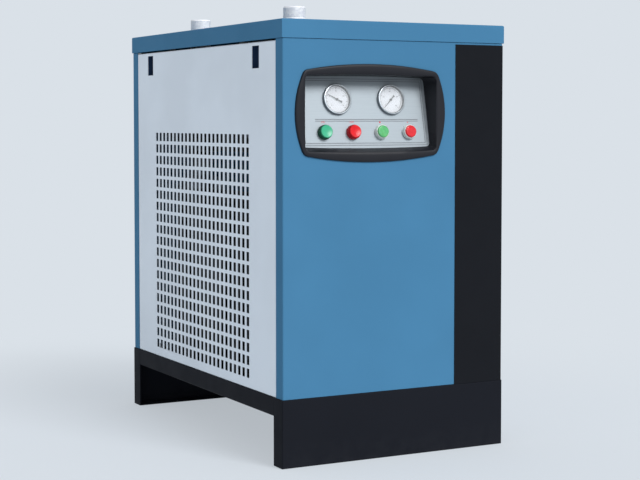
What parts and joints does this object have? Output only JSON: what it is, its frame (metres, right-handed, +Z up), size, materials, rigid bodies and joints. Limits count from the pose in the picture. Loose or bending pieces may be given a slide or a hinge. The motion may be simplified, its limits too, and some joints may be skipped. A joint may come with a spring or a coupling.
{
  "type": "refrigerated air dryer",
  "caption": "Free-standing cabinet that chills compressed air and drains its water, with perforated side panels and a recessed console of gauges, buttons and lamps.",
  "frame": {"origin": "centre of the footprint, on the floor, which is the centre of the anchor hole pattern", "axes": "+Z up, -Y out of the front with the console, +X to the right when the front is faced"},
  "size_m": [0.53, 0.85, 0.942],
  "materials": {
    "base_black": "satin powder coat",
    "frame_blue": "satin powder coat",
    "cabinet_blue": "satin powder coat",
    "panel_grey": "satin powder coat",
    "strip_black": "satin powder coat",
    "galvanised_steel": "galvanised",
    "zinc_steel": "zinc plated",
    "black_plastic": "moulded",
    "foam_rubber": "closed-cell foam",
    "bezel_plastic": "moulded, fine grain",
    "plate_aluminium": "silver anodised",
    "chrome": "polished",
    "dial_white": "matt white",
    "needle_black": "matt",
    "gauge_glass": "clear",
    "green_plastic": "moulded",
    "dark_green_plastic": "moulded",
    "red_plastic": "moulded",
    "dark_red_plastic": "moulded",
    "green_lens": "translucent",
    "red_lens": "translucent",
    "white_plastic": "moulded",
    "pipe_steel": "galvanised",
    "rubber_black": "moulded",
    "vessel_steel": "mill finish",
    "brass": "machined",
    "copper": "drawn tube",
    "compressor_black": "gloss enamel",
    "fin_black": "thin black coating",
    "shroud_black": "satin powder coat"
  },
  "bodies": {
    "cabinet": {"base_front_skirt": "base_black", "base_rear_skirt": "base_black", "base_side_rails": "base_black", "floor_pan": "galvanised_steel", "corner_posts": "frame_blue", "top_frame": "frame_blue", "top_cover": "cabinet_blue", "front_panel": "cabinet_blue", "front_strip": "strip_black", "rear_panel": "cabinet_blue", "cabinet_screws": "zinc_steel", "panel_seals": "foam_rubber", "console_bezel": "bezel_plastic", "console_plate": "plate_aluminium", "left_gauge_case": "chrome", "right_gauge_case": "chrome", "gauge_dials": "dial_white", "gauge_lenses": "gauge_glass", "start_button_collar": "dark_green_plastic", "stop_button_collar": "dark_red_plastic", "run_lamp_lens": "green_lens", "fault_lamp_lens": "red_lens", "lamp_collars": "white_plastic", "switch_blocks": "black_plastic", "inlet_pipe": "pipe_steel", "outlet_pipe": "pipe_steel", "pipe_grommets": "rubber_black", "heat_exchanger": "foam_rubber", "vessel_hangers": "galvanised_steel", "separator_vessel": "vessel_steel", "drain_valve": "brass", "drain_line": "copper", "drain_outlet": "brass", "cable_gland": "black_plastic", "compressor": "compressor_black", "compressor_mounts": "rubber_black", "compressor_terminal_cover": "black_plastic", "condenser_fins": "fin_black", "condenser_tubes": "copper", "fan_shroud": "shroud_black", "fan_motor": "compressor_black", "fan_guard": "zinc_steel", "control_box": "galvanised_steel", "contactor": "black_plastic", "terminal_strip": "white_plastic", "filter_drier": "copper", "discharge_line": "copper", "liquid_line": "copper", "suction_line": "foam_rubber"},
    "start_button": {"start_button": "green_plastic"},
    "stop_button": {"stop_button": "red_plastic"},
    "left_needle": {"left_gauge_needle": "needle_black"},
    "right_needle": {"right_gauge_needle": "needle_black"},
    "fan": {"fan_blades": "shroud_black"},
    "left_panel": {"left_side_panel": "panel_grey", "left_panel_pulls": "black_plastic"},
    "right_panel": {"right_side_panel": "panel_grey", "right_panel_pulls": "black_plastic"}
  },
  "joints": [
    {"name": "start_button_press", "type": "slide", "parent": "cabinet", "child": "start_button", "axis": [0, 0.9799, -0.1997], "range_m": [0, 0.004], "stiffness_N_per_m": 600, "springref_m": -0.003},
    {"name": "stop_button_press", "type": "slide", "parent": "cabinet", "child": "stop_button", "axis": [0, 0.9799, -0.1997], "range_m": [0, 0.004], "stiffness_N_per_m": 600, "springref_m": -0.003},
    {"name": "left_needle_turn", "type": "hinge", "parent": "cabinet", "child": "left_needle", "pos_m": [-0.12085, -0.37031, 0.74093], "axis": [0, 0.9799, -0.1997], "range_deg": [-72, 198]},
    {"name": "right_needle_turn", "type": "hinge", "parent": "cabinet", "child": "right_needle", "pos_m": [0.00685, -0.37031, 0.74093], "axis": [0, 0.9799, -0.1997], "range_deg": [0, 270]},
    {"name": "fan_spin", "type": "hinge", "parent": "cabinet", "child": "fan", "pos_m": [-0.155, 0, 0.339], "axis": [1, 0, 0], "continuous": true},
    {"name": "left_panel_tilt", "type": "hinge", "parent": "cabinet", "child": "left_panel", "pos_m": [-0.263, 0, 0.139], "axis": [0, -1, 0], "range_deg": [0, 25]},
    {"name": "right_panel_tilt", "type": "hinge", "parent": "cabinet", "child": "right_panel", "pos_m": [0.263, 0, 0.139], "axis": [0, 1, 0], "range_deg": [0, 25]}
  ]
}
